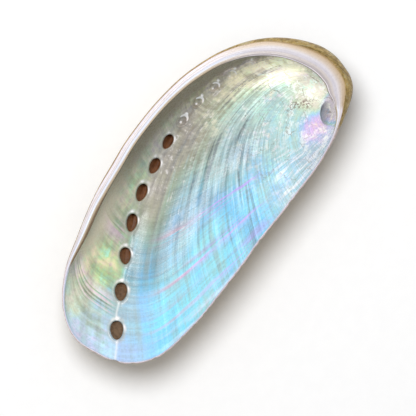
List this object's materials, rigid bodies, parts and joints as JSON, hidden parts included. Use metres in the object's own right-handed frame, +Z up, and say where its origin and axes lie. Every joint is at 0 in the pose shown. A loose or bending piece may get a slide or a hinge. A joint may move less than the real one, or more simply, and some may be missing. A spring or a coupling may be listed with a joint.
{
  "type": "abalone shell",
  "caption": "Empty ear-shaped abalone shell lying on its back: shallow pearly bowl, flat inner lip widening round a low spire, and a curved row of breathing pores.",
  "frame": {"origin": "on the surface the shell lies on, under the middle of its bounding box", "axes": "+X towards the spire end, +Y towards the inner lip and the pore row, +Z up out of the aperture"},
  "size_m": [0.0898, 0.04, 0.016],
  "materials": {
    "nacre": "pearly iridescent nacre inside, satin mottled olive-brown outside"
  },
  "bodies": {
    "root": {"shell": "nacre"}
  },
  "joints": []
}
